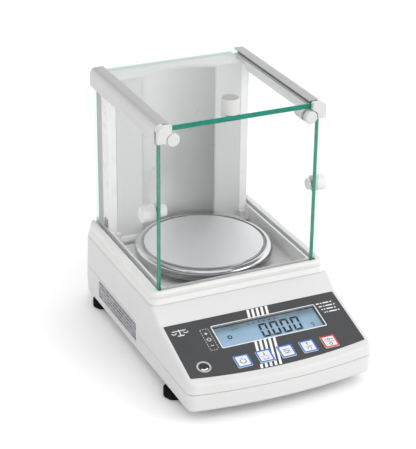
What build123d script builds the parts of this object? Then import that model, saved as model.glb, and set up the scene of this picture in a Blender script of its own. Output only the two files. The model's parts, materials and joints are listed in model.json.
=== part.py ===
from build123d import *
from math import cos, radians, sin, tan
import os

# Precision balance with a glass draught shield.
#
# Frame: X to the right seen from the front, Y to the rear, Z up. The origin is on the ground,
# under the middle of the object. All sizes are in millimetres.

# ---- whole object -------------------------------------------------------------------------------
BODY_LENGTH = 293.0          # front bow to rear face of the case
BODY_WIDTH = 193.0
FRONT_BOW = 9.0              # how far the front bulges at its middle
FRONT_RADIUS = 9.0           # corners seen from above
REAR_RADIUS = 27.0
CASE_BOTTOM = 10.2           # ground to the underside of the case
COVER_TOP = 76.0             # flat top of the cover, where the tray stands
TABLE_Z = 88.0               # top of the tray's rim, level with the pan
PAN_Y = 43.0                 # pan axis, behind the middle of the object

# ---- case shells --------------------------------------------------------------------------------
WALL = 2.5
SEAM_Z = 29.0                # parting line at the front
SEAM_REAR_Z = 42.0           # parting line along the rear half
SEAM_STEP_Y = (-17.0, -8.0)  # where the parting line climbs
SEAM_GAP = 0.45
UPPER_TAPER = 1.5            # degrees that the sides lean in above the parting line
LOWER_TAPER = 2.0
SLOPE_Y = -45.0              # front edge of the flat top
BREAK = (-64.0, 62.9)        # Y, Z where the steep slope meets the control slope
PANEL_TILT = 17.0            # degrees that the control slope leans to the front
COVER_EDGE = 3.5             # rounding of the cover's outer edge
BOTTOM_EDGE = 3.5

# ---- control front (x across, s down the slope from its top edge) -------------------------------
PANEL_HALF_TOP = 90.5
PANEL_HALF_BOTTOM = 91.3
PANEL_SIDE = 69.0            # s of the lower corners
PANEL_BOW = 7.5              # the lower edge bulges with the front
OVERLAY = 1.2                # thickness of the control sheet
WINDOW = (8.8, 26.7, 109.5, 28.3)      # x, s, width, height of the display window
KEY_SIZE = 15.2
KEY_FIRST_X = -35.0
KEY_PITCH = 22.9
KEY_S = 62.0
LEVEL_X, LEVEL_S, LEVEL_D = -73.4, 58.4, 12.0

# ---- draught shield -----------------------------------------------------------------------------
GLASS = 4.0
SHIELD_HALF = 84.0           # outer face of the side doors
PANE_FRONT = -39.0           # front face of the front pane
DOOR_REAR = 127.0            # rear edge of the closed side doors
GLASS_FOOT = 83.4            # lowest edge of the glass, in the tray's groove
GROOVE_FLOOR = 83.0
PANE_TOP = 250.3
DOOR_TOP = 244.2
TOP_DOOR_Z = 250.8           # underside of the top door
RAIL_BOTTOM = 237.0
RAIL_TOP = 256.5
RAIL_OUT = 86.5
RAIL_IN = 72.4
RAIL_FRONT = -34.7
RAIL_REAR = 130.0
KNOB_D = 16.0
DISC_D = 11.5                # inner ends of the side doors' grips
LEFT_DISC, RIGHT_DISC = 8.2, 1.2       # the left one is a knob, the right one a washer
SIDE_KNOB = (-26.0, 165.0)   # Y, Z of the side doors' grips
TOP_KNOB = (-8.0, -30.3)     # X, Y of the top door's grip
CLAMP = (71.0, 242.0)        # X, Z of the front pane's clamps
CLAMP_D = 12.8
CAP_BOTTOM = 239.8           # lower edge of the rails' white end caps

# ---- tray and rear wall -------------------------------------------------------------------------
TRAY_FOOT = (94.4, -46.0, 143.8)       # half width, front Y, rear Y at the foot of the rim
TRAY_WAIST = (91.3, -43.3, 141.3)      # the same where the flared foot meets the crown
TRAY_TOP = (92.0, -44.0, 142.0)        # the same round the crown
WAIST_Z = 82.2
CROWN_ROUND = 2.8
DECK_Z = 71.0                # recessed floor round the pan
LEDGE_Z = 77.2               # step that the rear wall stands on
LEDGE_Y = 99.0
RECESS_HALF = 77.6
WALL_Y = 105.2               # front of the rear wall
POST = (69.0, 78.2, 105.0, 121.0)      # inner x, outer x, front Y, rear Y
COLUMN_REAR = 121.0
COVER_REAR = 138.0
NICHE_HALF = 41.5            # concave niche in the rear wall
NICHE_DEPTH = 13.3
COLUMN_TOP = 247.4

# ---- weighing mechanism -------------------------------------------------------------------------
PAN_R = 70.0
PAN_PLATE_R = 61.3
PAN_HEIGHT = 9.8
PAN_SHEET = 1.2
SUPPORT_TOP = TABLE_Z - PAN_SHEET - 1.6  # top of the pan's carrier, under its rubber pads
ARM_ANGLES = (45, 135, 225, 315)
SHAFT_D = 8.0
CELL_FLOOR = 19.0            # underside of the cell's floor plate
CELL_REAR = 112.0            # rear face of the cell's pillar
CELL_HALF = 26.0             # half width of the moving block and the guides
LEVER_Y, LEVER_Z = 69.0, 41.0
LEVER_PIN = 2.9

# ---- feet and rear sockets ----------------------------------------------------------------------
FOOT_XY = ((-88.0, -86.0), (88.0, -86.0), (-85.5, 107.0), (85.5, 107.0))
FOOT_NAMES = ("front_left", "front_right", "rear_left", "rear_right")
FOOT_D = 22.5
STUD_D = 6.0
INSERT_D = 9.0               # brass insert that the stud screws into
FOOT_LOBES = 8
LOBE_GAP_D = 6.0             # scallops between the lobes of the foot
STUD_TURNS = 14
BOARD_Z = 20.0               # underside of the main board
SOCKET_Z = 31.0
JACK_X, JACK_D = 52.0, 9.0
PORT_X, PORT_W = 8.0, 31.0


# ---- helpers ------------------------------------------------------------------------------------
def box(x0, x1, y0, y1, z0, z1):
    """Box between two corners."""
    size = (x1 - x0, y1 - y0, z1 - z0)
    return Pos((x0 + x1) / 2, (y0 + y1) / 2, (z0 + z1) / 2) * Box(*size)


def rod(x, y, z0, z1, diameter):
    """Upright cylinder."""
    return Pos(x, y, (z0 + z1) / 2) * Cylinder(diameter / 2, z1 - z0)


def rod_x(x0, x1, y, z, diameter):
    """Cylinder along X."""
    return Pos((x0 + x1) / 2, y, z) * Rot(0, 90, 0) * Cylinder(diameter / 2, abs(x1 - x0))


def rod_y(x, y0, y1, z, diameter):
    """Cylinder along Y."""
    return Pos(x, (y0 + y1) / 2, z) * Rot(90, 0, 0) * Cylinder(diameter / 2, y1 - y0)


def side_prism(points, half):
    """Prism of a (Y, Z) outline, from x = -half to x = half."""
    wire = Polyline(*[(0, y, z) for y, z in points], close=True)
    return extrude(make_face(wire), amount=half, dir=(1, 0, 0), both=True)


def top_prism(points, z0, z1):
    """Prism of an (X, Y) outline."""
    wire = Polyline(*[(x, y, z0) for x, y in points], close=True)
    return extrude(make_face(wire), amount=z1 - z0, dir=(0, 0, 1))


def mirrored(shape):
    """The same shape on the other side of the YZ plane."""
    return mirror(shape, about=Plane.YZ)


def group(*shapes):
    """Several separate solids in one part."""
    solids = [solid for shape in shapes for solid in shape.solids()]
    return Compound(children=solids)


def save(name, shape):
    """Write one sub-part."""
    solids = shape.solids()
    part = solids[0] if len(solids) == 1 else Compound(children=list(solids))
    part.label = name
    export_step(part, f"parts/{name}.step")


# ---- panel frame --------------------------------------------------------------------------------
TILT = radians(PANEL_TILT)
PANEL_PLANE = Plane(origin=(0, BREAK[0], BREAK[1]), x_dir=(1, 0, 0), z_dir=(0, -sin(TILT), cos(TILT)))


def on_panel(x, s, depth=0.0):
    """Location on the control slope; depth is measured outwards."""
    return PANEL_PLANE * Pos(x, -s, depth)


def panel_block(x, s, width, height, low, high, radius=0.0):
    """Block square to the control slope between two depths."""
    sketch = RectangleRounded(width, height, radius) if radius else Rectangle(width, height)
    return on_panel(x, s, low) * extrude(sketch, amount=high - low)


# ---- case ---------------------------------------------------------------------------------------
def plan_face(inset, z):
    """Outline of the case from above, drawn in by inset."""
    half = BODY_WIDTH / 2 - inset
    rear = BODY_LENGTH / 2 - inset
    nose = inset - BODY_LENGTH / 2
    corner = nose + FRONT_BOW
    front = ThreePointArc((-half, corner), (0, nose), (half, corner))
    sides = Polyline((half, corner), (half, rear), (-half, rear), (-half, corner))
    face = make_face(Wire([*front.edges(), *sides.edges()]))
    front_corners = [v for v in face.vertices() if v.Y < 0]
    face = fillet(front_corners, FRONT_RADIUS - inset)
    rear_corners = [v for v in face.vertices() if v.Y > rear - 1]
    face = fillet(rear_corners, REAR_RADIUS - inset)
    return Pos(0, 0, z) * face


def slope_cut(inset):
    """Everything above the sloping front."""
    drop = 1.1 * inset
    far = -BODY_LENGTH
    far_z = BREAK[1] + (far - BREAK[0]) * tan(TILT)
    points = [(SLOPE_Y, COVER_TOP - drop), (BREAK[0], BREAK[1] - drop), (far, far_z - drop),
              (far, 200), (SLOPE_Y, 200)]
    return side_prism(points, BODY_WIDTH)


def case_block(inset=0.0, rounded=False):
    """The case as a solid, drawn in by inset all round."""
    upper = extrude(plan_face(inset, SEAM_Z), amount=COVER_TOP - inset - SEAM_Z, taper=UPPER_TAPER)
    upper -= slope_cut(inset)
    lower = extrude(plan_face(inset, SEAM_Z), amount=CASE_BOTTOM + inset - SEAM_Z, taper=LOWER_TAPER)
    if rounded:
        rim = [e for e in upper.edges() if e.center().Z > SEAM_Z + 5 and not is_crease(e)
               and not is_upright(e)]
        upper = fillet(rim, COVER_EDGE)
        lower = fillet(lower.edges().group_by(Axis.Z)[0], BOTTOM_EDGE)
    return upper + lower


def is_crease(edge):
    """True for the two folds that run across the cover."""
    middle = edge.center()
    across = abs(edge.tangent_at(0.5).X) > 0.99
    fold = min(abs(middle.Y - SLOPE_Y), abs(middle.Y - BREAK[0])) < 0.5
    return across and fold


def is_upright(edge):
    """True for corner edges that run up the case."""
    return abs(edge.tangent_at(0.5).Z) > 0.7


def seam_zone(shift, top):
    """Region below the stepped parting line moved up by shift, or above it."""
    y0, y1 = SEAM_STEP_Y
    far = BODY_LENGTH
    line = [(-far, SEAM_Z + shift), (y0, SEAM_Z + shift), (y1, SEAM_REAR_Z + shift),
            (far, SEAM_REAR_Z + shift)]
    end = 200 if top else -50
    return side_prism(line + [(far, end), (-far, end)], BODY_WIDTH)


def seam_lip():
    """Upright lip inside the lower shell that the cover fits over."""
    zone = seam_zone(2.5, False) & seam_zone(-3.0, True)
    foot = zone & seam_zone(-0.2, False)
    foot &= case_block(WALL - 0.2) - case_block(WALL + 1.4)
    blade = zone & seam_zone(-0.4, True)
    blade &= case_block(WALL + 0.15) - case_block(WALL + 1.4)
    return foot + blade


def foot_boss(x, y):
    """Solid boss that holds a threaded insert, open below for the stud."""
    return rod(x, y, CASE_BOTTOM + 0.5, CASE_BOTTOM + 14, 15)


def screw_spots():
    """Places of the six screws that join the shells."""
    rows = ((85, -110), (80, -40), (80, 70))
    return [(side * x, y) for x, y in rows for side in (-1, 1)]


def lower_case():
    """Lower shell with its lip, foot bosses, screw bosses and rear sockets."""
    shell = (case_block(0, True) - case_block(WALL)) & seam_zone(0, False)
    shell += seam_lip()
    inner = case_block(WALL - 0.3)
    for x, y in FOOT_XY:
        shell += foot_boss(x, y) & inner
    for x, y in screw_spots():
        shell += rod(x, y, CASE_BOTTOM + 1, SEAM_Z - 4, 9) & inner
    for x, y in board_corners():
        shell += rod(x, y, CASE_BOTTOM + 1, BOARD_Z, 6)
    for x, y in FOOT_XY:
        shell -= rod(x, y, CASE_BOTTOM - 1, CASE_BOTTOM + 4, STUD_D + 1)
        shell -= rod(x, y, CASE_BOTTOM + 4, CASE_BOTTOM + 14.5, INSERT_D)
    for x, y in screw_spots():
        shell -= rod(x, y, CASE_BOTTOM - 1, SEAM_Z, 3.6)
        shell -= rod(x, y, CASE_BOTTOM - 1, CASE_BOTTOM + 3, 7.5)
    rear = BODY_LENGTH / 2
    shell -= rod_y(JACK_X, rear - 6, rear + 1, SOCKET_Z, JACK_D + 0.4)
    half = PORT_W / 2 + 0.2
    shell -= box(PORT_X - half, PORT_X + half, rear - 6, rear + 1, SOCKET_Z - 6.4, SOCKET_Z + 6.4)
    return shell


def panel_outline(grow=0.0):
    """Outline of the control sheet in the panel frame."""
    top, low, side = PANEL_HALF_TOP + grow, PANEL_HALF_BOTTOM + grow, PANEL_SIDE + grow
    arc = ThreePointArc((-low, -side), (0, -side - PANEL_BOW), (low, -side))
    rest = Polyline((low, -side), (top, grow - 0.4), (-top, grow - 0.4), (-low, -side))
    face = make_face(Wire([*arc.edges(), *rest.edges()]))
    return fillet(face.vertices(), 1.2)


def key_places():
    """X of each key on the control slope."""
    return [KEY_FIRST_X + KEY_PITCH * i for i in range(5)]


def panel_holes(low, high, spare):
    """Cutters for the window, the keys and the level."""
    x, s, width, height = WINDOW
    cut = [panel_block(x, s, width + 2 * spare, height + 2 * spare, low, high, 1.5)]
    for key_x in key_places():
        size = KEY_SIZE + 2 * spare
        cut.append(panel_block(key_x, KEY_S, size, size, low, high, 1.8))
    cut.append(on_panel(LEVEL_X, LEVEL_S, (low + high) / 2) * Cylinder(LEVEL_D / 2 + 1 + spare, high - low))
    return cut


def top_cover():
    """Upper shell: flat top with the tray's opening, and the sloping control front."""
    shell = (case_block(0, True) - case_block(WALL)) & seam_zone(SEAM_GAP, True)
    shell -= box(-82, 82, -38, 97, COVER_TOP - 6, COVER_TOP + 1)
    shell -= PANEL_PLANE * Pos(0, 0, -OVERLAY - 0.1) * extrude(panel_outline(0.15), amount=5)
    for cutter in panel_holes(-12, 2, 0.3):
        shell -= cutter
    inner = case_block(WALL - 0.3)
    for x, y in screw_spots():
        boss = rod(x, y, SEAM_Z - 3.5, COVER_TOP, 8.4) & inner
        hole = rod(x, y, SEAM_Z - 4, SEAM_Z + 12, 2.6)
        shell += boss - box(-82, 82, -38, 97, COVER_TOP - 9, COVER_TOP + 1) - hole
    for x, y in tray_screw_spots():
        shell -= rod(x, y, COVER_TOP - 6, COVER_TOP + 1, 3.4)
    return largest(shell)


def largest(shape):
    """The biggest solid of a cut, without loose crumbs."""
    return max(shape.solids(), key=lambda solid: solid.volume)


# ---- tray ---------------------------------------------------------------------------------------
def rounded_plan(half, front, rear, z, front_radius, rear_radius):
    """Rectangle seen from above with its own front and rear corner radii."""
    wire = Polyline((-half, front, z), (half, front, z), (half, rear, z), (-half, rear, z), close=True)
    face = make_face(wire)
    face = fillet([v for v in face.vertices() if v.Y < front + 1], front_radius)
    return fillet([v for v in face.vertices() if v.Y > rear - 1], rear_radius)


def tray_screw_spots():
    """Places of the four screws that hold the tray."""
    return [(x, y) for x in (-88.0, 88.0) for y in (-20.0, 118.0)]


def shield_tray():
    """Raised frame: leaning rim, grooves for the glass, recessed deck and rear ledge."""
    foot = rounded_plan(*TRAY_FOOT, COVER_TOP + 0.1, 8, 23)
    waist = rounded_plan(*TRAY_WAIST, WAIST_Z, 6.3, 20.3)
    crown = extrude(rounded_plan(*TRAY_TOP, WAIST_Z, 7, 21), amount=TABLE_Z - WAIST_Z)
    crown = fillet(crown.edges().group_by(Axis.Z)[-1], CROWN_ROUND)
    body = loft([foot, waist]) + crown
    tub = box(-81.5, 81.5, -37.5, 96.5, DECK_Z - 2, COVER_TOP + 1)
    body += tub
    well = rounded_plan(RECESS_HALF, -34.2, LEDGE_Y, DECK_Z, 4, 4)
    body -= extrude(well, amount=30)
    body -= box(-RECESS_HALF - 0.6, RECESS_HALF + 0.6, LEDGE_Y - 0.01, 150, LEDGE_Z, 100)
    groove = GLASS / 2 + 0.4
    for side in (-1, 1):
        middle = side * (SHIELD_HALF - GLASS / 2)
        body -= box(middle - groove, middle + groove, PANE_FRONT + GLASS, 150, GROOVE_FLOOR, 100)
    pane = PANE_FRONT + GLASS / 2
    body -= box(-SHIELD_HALF - 0.4, SHIELD_HALF + 0.4, pane - groove, pane + groove, GROOVE_FLOOR, 100)
    under = rounded_plan(TRAY_WAIST[0] - 1.4, TRAY_WAIST[1] + 2, TRAY_WAIST[2] - 3.5, COVER_TOP, 4, 18)
    hollow = extrude(under, amount=GROOVE_FLOOR - COVER_TOP - 2.4)
    hollow -= box(-83.5, 83.5, -39.5, 98.5, 60, 100)
    hollow -= box(-90, 90, LEDGE_Y - 1, 150, LEDGE_Z - 2, 100)
    body -= hollow
    for x, y in tray_screw_spots():
        body += rod(x, y, COVER_TOP + 0.1, GROOVE_FLOOR - 1, 7) & foot_prism()
        body -= rod(x, y, COVER_TOP, COVER_TOP + 5.5, 2.5)
    body -= rod(0, PAN_Y, DECK_Z - 5, DECK_Z + 5, SHAFT_D + 8)
    collar = rod(0, PAN_Y, DECK_Z - 2, DECK_Z + 3.5, SHAFT_D + 13)
    body += collar - rod(0, PAN_Y, DECK_Z - 5, DECK_Z + 5, SHAFT_D + 8)
    return largest(body)


def foot_prism():
    """Space inside the tray's rim, for what grows from it."""
    plan = rounded_plan(*TRAY_WAIST, COVER_TOP, 6, 20)
    return extrude(plan, amount=TABLE_Z - COVER_TOP - 2)


def tray_screws():
    """Four screws from under the cover's top into the tray."""
    parts = []
    for x, y in tray_screw_spots():
        head = rod(x, y, COVER_TOP - WALL - 2.4, COVER_TOP - WALL - 0.05, 5.6)
        socket = rod(x, y, COVER_TOP - WALL - 3, COVER_TOP - WALL - 1.2, 2.5)
        parts.append(head + rod(x, y, COVER_TOP - WALL - 0.1, COVER_TOP + 4.5, 2.4) - socket)
    return group(*parts)


def case_screws():
    """Six screws from below that join the two shells."""
    parts = []
    for x, y in screw_spots():
        head = rod(x, y, CASE_BOTTOM + 1.0, CASE_BOTTOM + 2.95, 6.4)
        shank = rod(x, y, CASE_BOTTOM + 2.9, SEAM_Z + 8, 2.5)
        slot = rod(x, y, CASE_BOTTOM, CASE_BOTTOM + 2.2, 2.6)
        parts.append(head + shank - slot)
    return group(*parts)


def rating_plate():
    """Blank plate that follows the left side of the lower shell."""
    zone = box(-110, -80, -9.0, 90.0, 20.5, 39.5) + box(-110, -80, -9.5, -8.5, 20.5, 36.0)
    return largest((case_block(-0.35) - case_block(0)) & zone)


# ---- feet ---------------------------------------------------------------------------------------
def foot_knob(x, y):
    """Lobed foot with a rounded sole."""
    knob = rod(x, y, 0, CASE_BOTTOM - 1.5, FOOT_D)
    knob = chamfer(knob.edges().group_by(Axis.Z)[0], 1.6)
    knob = fillet(knob.edges().group_by(Axis.Z)[-1], 1.0)
    for i in range(FOOT_LOBES):
        scallop = Rot(0, 0, 360 / FOOT_LOBES * (i + 0.5)) * Pos(FOOT_D / 2 + 1.2, 0, 0)
        knob -= Pos(x, y, 0) * scallop * Cylinder(LOBE_GAP_D / 2, 2 * CASE_BOTTOM)
    return knob + foot_stud(x, y)


def foot_stud(x, y):
    """Threaded stud moulded into the foot."""
    stud = rod(x, y, 5.0, CASE_BOTTOM + 16, STUD_D)
    for i in range(STUD_TURNS):
        ring = rod(x, y, CASE_BOTTOM + 0.4 + i, CASE_BOTTOM + 0.7 + i, STUD_D + 1)
        stud -= ring - rod(x, y, CASE_BOTTOM, CASE_BOTTOM + 20, STUD_D - 0.7)
    return stud


def foot_inserts():
    """Brass inserts pressed into the foot bosses."""
    parts = []
    for x, y in FOOT_XY:
        sleeve = rod(x, y, CASE_BOTTOM + 4.0, CASE_BOTTOM + 14.0, INSERT_D)
        parts.append(sleeve - rod(x, y, CASE_BOTTOM, CASE_BOTTOM + 20, STUD_D + 0.1))
    return group(*parts)


# ---- control front ------------------------------------------------------------------------------
def panel_overlay():
    """Control sheet with its window, key and level openings."""
    sheet = PANEL_PLANE * Pos(0, 0, -OVERLAY) * extrude(panel_outline(), amount=OVERLAY - 0.1)
    for cutter in panel_holes(-3, 2, 0.15):
        sheet -= cutter
    return sheet


def display_window():
    """Clear window set flush in the sheet."""
    x, s, width, height = WINDOW
    return panel_block(x, s, width, height, -2.2, -0.15, 1.4)


def display_module():
    """Display glass and light box under the window."""
    x, s, width, height = WINDOW
    glass = panel_block(x, s, width - 2.2, height - 2.2, -4.6, -2.3, 0.6)
    frame = panel_block(x, s, width - 1.0, height - 1.0, -11.0, -4.6)
    return glass + frame


def key(index):
    """One key: a square cap and the stem that reaches the switch board."""
    x = key_places()[index]
    cap = panel_block(x, KEY_S, KEY_SIZE, KEY_SIZE, -2.0, 0.45, 1.6)
    top = cap.faces().sort_by(Axis.Z)[-1]
    cap = fillet(top.edges(), 0.35)
    return cap + on_panel(x, KEY_S, -3.4) * Cylinder(3.0, 3.2)


def key_board():
    """Switch board under the keys, with one dome switch for each."""
    middle = KEY_FIRST_X + 2 * KEY_PITCH
    board = panel_block(middle, KEY_S + 0.2, 112, 14, -8.2, -6.6)
    for x in key_places():
        board += on_panel(x, KEY_S, -6.3) * Cylinder(2.6, 0.7)
    return board


def level_bezel():
    """Ring that holds the bubble level in the sheet."""
    ring = Cylinder(LEVEL_D / 2 + 1.0, 5.0) - Cylinder(LEVEL_D / 2 - 0.6, 9.0)
    return on_panel(LEVEL_X, LEVEL_S, -2.6) * ring


def level_vial():
    """Round level: a closed vial with a slightly domed top."""
    vial = Cylinder(LEVEL_D / 2 - 0.62, 4.6)
    vial = fillet(vial.edges().group_by(Axis.Z)[-1], 0.8)
    return on_panel(LEVEL_X, LEVEL_S, -2.9) * vial


# ---- electronics --------------------------------------------------------------------------------
def board_corners():
    """Places of the pillars that carry the main board."""
    return [(x, y) for x in (-56, 56) for y in (-106, -50)]


def main_board():
    """Electronics board with its larger components."""
    top = BOARD_Z + 1.6
    board = box(-62, 62, -112, -44, BOARD_Z, top)
    chips = [(-40, -90, 14, 14, 2), (-8, -92, 22, 22, 3.2), (30, -95, 12, 18, 6), (-36, -60, 30, 8, 5),
             (14, -60, 18, 10, 4), (45, -62, 10, 16, 9)]
    for x, y, width, depth, height in chips:
        board += box(x - width / 2, x + width / 2, y - depth / 2, y + depth / 2, top, top + height)
    return board


def power_jack():
    """Power inlet: a round socket with its centre pin."""
    rear = BODY_LENGTH / 2
    body = box(JACK_X - 6, JACK_X + 6, rear - 16, rear - 4.5, SOCKET_Z - 6, SOCKET_Z + 6)
    body += rod_y(JACK_X, rear - 5, rear + 0.0, SOCKET_Z, JACK_D)
    body -= rod_y(JACK_X, rear - 12, rear + 1, SOCKET_Z, 6.3)
    return body + rod_y(JACK_X, rear - 13, rear - 2, SOCKET_Z, 2.0)


def serial_port():
    """Nine-way data socket with its two hex posts."""
    rear = BODY_LENGTH / 2
    shell = box(PORT_X - 15.5, PORT_X + 15.5, rear - 14, rear - 1.2, SOCKET_Z - 6.2, SOCKET_Z + 6.2)
    tongue = box(PORT_X - 9, PORT_X + 9, rear - 4, rear + 0.0, SOCKET_Z - 4.2, SOCKET_Z + 4.2)
    shell += fillet(tongue.edges().filter_by(Axis.Y), 1.8)
    for row, count in ((1.4, 5), (-1.4, 4)):
        for i in range(count):
            x = PORT_X + (i - (count - 1) / 2) * 2.8
            shell -= rod_y(x, rear - 6, rear + 1, SOCKET_Z + row, 1.1)
    for side in (-1, 1):
        shell += rod_y(PORT_X + side * 12.4, rear - 2, rear + 0.0, SOCKET_Z, 4.6)
    return shell


def port_board():
    """Small board that both rear sockets are soldered to."""
    rear = BODY_LENGTH / 2
    return box(-15, 64, rear - 15.7, rear - 14.1, SOCKET_Z - 9, SOCKET_Z + 9) \
        - box(JACK_X - 6.1, JACK_X + 6.1, rear - 17, rear - 10, SOCKET_Z - 6.1, SOCKET_Z + 6.1)


# ---- glass --------------------------------------------------------------------------------------
def front_pane():
    """Fixed front glass, drilled for its two clamps."""
    half = SHIELD_HALF - 0.2
    pane = box(-half, half, PANE_FRONT, PANE_FRONT + GLASS, GLASS_FOOT, PANE_TOP)
    pane = chamfer(pane.edges().filter_by(Axis.X), 0.4)
    for side in (-1, 1):
        pane -= rod_y(side * CLAMP[0], PANE_FRONT - 1, PANE_FRONT + GLASS + 1, CLAMP[1], 6.0)
    return pane


def side_door():
    """Left sliding glass, drilled for its grip."""
    outer = -SHIELD_HALF
    front = PANE_FRONT + GLASS + 0.5
    door = box(outer, outer + GLASS, front, DOOR_REAR, GLASS_FOOT, DOOR_TOP)
    door = chamfer(door.edges().filter_by(Axis.Z), 0.4)
    return door - rod_x(outer - 1, outer + GLASS + 1, *SIDE_KNOB, 5.0)


def side_knob():
    """Outer grip of the left door, with the stem that goes through the glass."""
    face = -SHIELD_HALF - 13.0
    knob = rod_x(face, -SHIELD_HALF, *SIDE_KNOB, KNOB_D)
    knob = fillet(knob.edges().group_by(Axis.X)[0], 1.6)
    return knob + rod_x(-SHIELD_HALF, -SHIELD_HALF + GLASS, *SIDE_KNOB, 4.9)


def side_knob_disc(depth):
    """Inner end of the left door's grip, standing in by depth."""
    inner = -SHIELD_HALF + GLASS
    disc = rod_x(inner, inner + depth, *SIDE_KNOB, DISC_D)
    return fillet(disc.edges().group_by(Axis.X)[-1], 0.4)


def top_door():
    """Top sliding glass, drilled for its grip."""
    half = RAIL_IN + 3.4
    door = box(-half, half, PANE_FRONT, DOOR_REAR + 1.0, TOP_DOOR_Z, TOP_DOOR_Z + GLASS)
    door = chamfer(door.edges().filter_by(Axis.X), 0.4)
    return door - rod(*TOP_KNOB, TOP_DOOR_Z - 1, TOP_DOOR_Z + GLASS + 1, 5.0)


def top_knob():
    """Grip of the top door with its stem."""
    top = TOP_DOOR_Z + GLASS
    knob = rod(*TOP_KNOB, top, top + 15.5, KNOB_D + 1.5)
    knob = fillet(knob.edges().group_by(Axis.Z)[-1], 1.6)
    return knob + rod(*TOP_KNOB, TOP_DOOR_Z, top, 4.9)


def top_knob_disc():
    """Counter disc under the top door."""
    disc = rod(*TOP_KNOB, TOP_DOOR_Z - 1.8, TOP_DOOR_Z, 8.5)
    return fillet(disc.edges().group_by(Axis.Z)[0], 0.8)


# ---- rails --------------------------------------------------------------------------------------
def rail_outline(y):
    """Section of the left rail without its slots."""
    out, top = -RAIL_OUT, RAIL_TOP
    lower = Polyline((-RAIL_IN, y, top), (-RAIL_IN, y, RAIL_BOTTOM + 8.5), (-77.6, y, RAIL_BOTTOM),
                     (out + 0.8, y, RAIL_BOTTOM), (out, y, RAIL_BOTTOM + 1.5), (out, y, top - 6.5))
    corner = ThreePointArc((out, y, top - 6.5), (out + 1.9, y, top - 1.9), (out + 6.5, y, top))
    cap = Line((out + 6.5, y, top), (-RAIL_IN, y, top))
    return make_face(Wire([*lower.edges(), *corner.edges(), *cap.edges()]))


def rail_prism(front, rear):
    """Solid of the left rail's outline between two Y."""
    return extrude(rail_outline(front), amount=rear - front, dir=(0, 1, 0))


def side_rail():
    """Left top rail with the side door's slot, the top door's slot and a trim groove."""
    rail = rail_prism(RAIL_FRONT, RAIL_REAR)
    middle = -SHIELD_HALF + GLASS / 2
    rail -= box(middle - 2.4, middle + 2.4, RAIL_FRONT - 1, RAIL_REAR + 1, RAIL_BOTTOM - 1, DOOR_TOP + 0.7)
    rail -= box(-RAIL_IN - 4.0, -RAIL_IN + 1, RAIL_FRONT - 1, RAIL_REAR + 1,
                TOP_DOOR_Z - 0.35, TOP_DOOR_Z + GLASS + 0.35)
    return rail


def rail_cap():
    """White end cap of the left rail, which also closes the front pane's corner."""
    front = PANE_FRONT - 4.6
    face = PANE_FRONT - 0.3
    cap = rail_prism(front, face)
    bridge = rail_prism(face - 0.1, RAIL_FRONT - 0.1) - box(-80, 0, face - 1, 0, 200, 300)
    bridge -= box(-100, 0, face - 1, 0, 200, PANE_TOP + 0.4)
    cap += bridge
    cap -= box(-100, 0, front - 1, face + 0.01, 200, CAP_BOTTOM)
    cap -= rod_y(-CLAMP[0], front - 1, 0, CLAMP[1], CLAMP_D + 1.2)
    return largest(cap)


def pane_knob():
    """Left clamp of the front pane: a round head and its stem."""
    head = rod_y(-CLAMP[0], PANE_FRONT - 5.2, PANE_FRONT, CLAMP[1], CLAMP_D)
    head = fillet(head.edges().group_by(Axis.Y)[0], 1.4)
    return head + rod_y(-CLAMP[0], PANE_FRONT, PANE_FRONT + GLASS + 6, CLAMP[1], 4.0)


def pane_bracket():
    """Round boss behind the left corner of the front pane, fixed to the rail."""
    back = PANE_FRONT + GLASS
    boss = rod_y(-CLAMP[0], back, back + 14, CLAMP[1], 13.5)
    boss -= rail_prism(RAIL_FRONT - 0.1, back + 20)
    boss -= box(-100, 0, back - 1, back + 20, TOP_DOOR_Z - 2.2, 300)
    boss -= box(-100, -SHIELD_HALF + GLASS + 0.5, back - 1, back + 20, 200, 300)
    return largest(boss - rod_y(-CLAMP[0], back - 1, back + 6.1, CLAMP[1], 4.1))


# ---- rear wall ----------------------------------------------------------------------------------
def post():
    """Left rear post, which carries the rail."""
    x0, x1, y0, y1 = POST
    upright = box(-x1, -x0, y0, y1, LEDGE_Z, COLUMN_TOP - 0.2)
    upright = fillet([e for e in upright.edges().filter_by(Axis.Z) if e.center().Y < y0 + 1], 1.0)
    upright -= rail_prism(y0 - 1, y1 + 1)
    return largest(upright)


def post_foot():
    """Shoe of the left post on the tray's ledge."""
    x0, x1, y0, y1 = POST
    return box(-x1 + 0.4, -x0 + 1.0, y0 - 5.5, y0 - 0.05, LEDGE_Z, LEDGE_Z + 6.5)


def door_guide():
    """Dark guide block beside the left post's foot, inside the side door."""
    x1, y1 = POST[1], POST[3]
    return box(-x1 - 1.2, -x1, y1 - 12, y1 - 5, TABLE_Z + 0.3, TABLE_Z + 9)


def niche_points():
    """Radius and centre Y of the niche's arc."""
    radius = (NICHE_HALF ** 2 + NICHE_DEPTH ** 2) / (2 * NICHE_DEPTH)
    return radius, WALL_Y + NICHE_DEPTH - radius


def niche_cutter(z0, z1, shrink=0.0):
    """Upright cylinder that hollows the niche, trimmed at the wall's face."""
    radius, centre = niche_points()
    cylinder = rod(0, centre, z0, z1, 2 * (radius - shrink))
    return cylinder & box(-80, 80, WALL_Y - 1, 200, z0, z1)


def rear_column():
    """Rear wall between the posts, with the niche and hollow flanks."""
    x0 = POST[0] - 0.1
    wall = box(-x0, x0, WALL_Y, COLUMN_REAR, LEDGE_Z, COLUMN_TOP)
    wall -= niche_cutter(LEDGE_Z - 1, COLUMN_TOP + 1)
    for side in (-1, 1):
        low, high = sorted((side * 45.5, side * (x0 - 2.5)))
        wall -= box(low, high, WALL_Y + 2.5, COLUMN_REAR + 1, LEDGE_Z + 3, COLUMN_TOP - 3)
    return wall


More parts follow.
